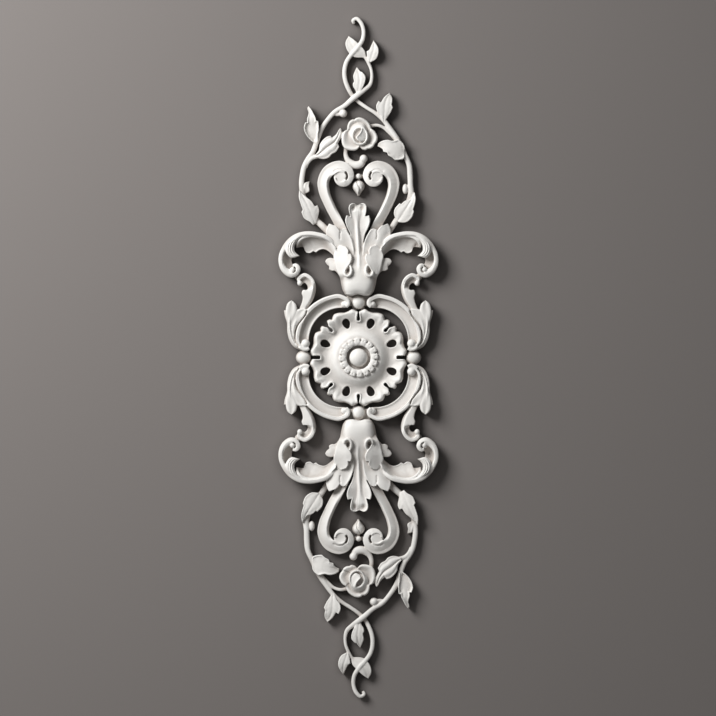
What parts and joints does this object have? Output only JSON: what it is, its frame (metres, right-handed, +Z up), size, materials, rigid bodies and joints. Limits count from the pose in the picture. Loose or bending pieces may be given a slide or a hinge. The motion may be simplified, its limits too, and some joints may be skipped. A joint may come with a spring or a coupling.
{
  "type": "scroll applique",
  "caption": "Tall openwork wall ornament with a flat back: a pierced rosette in a ring of C-scrolls, with acanthus sprays, heart scrolls and flowering tendrils above and below.",
  "frame": {"origin": "on the flat back face, behind the centre of the rosette", "axes": "+Z up along the ornament's length, +Y out of the flat back into the wall, +X to the right of someone who faces the ornament"},
  "size_m": [0.176, 0.0267, 0.751],
  "materials": {
    "painted_resin": "matt off-white paint over a one-piece resin casting"
  },
  "bodies": {
    "root": {"scroll_applique": "painted_resin"}
  },
  "joints": []
}
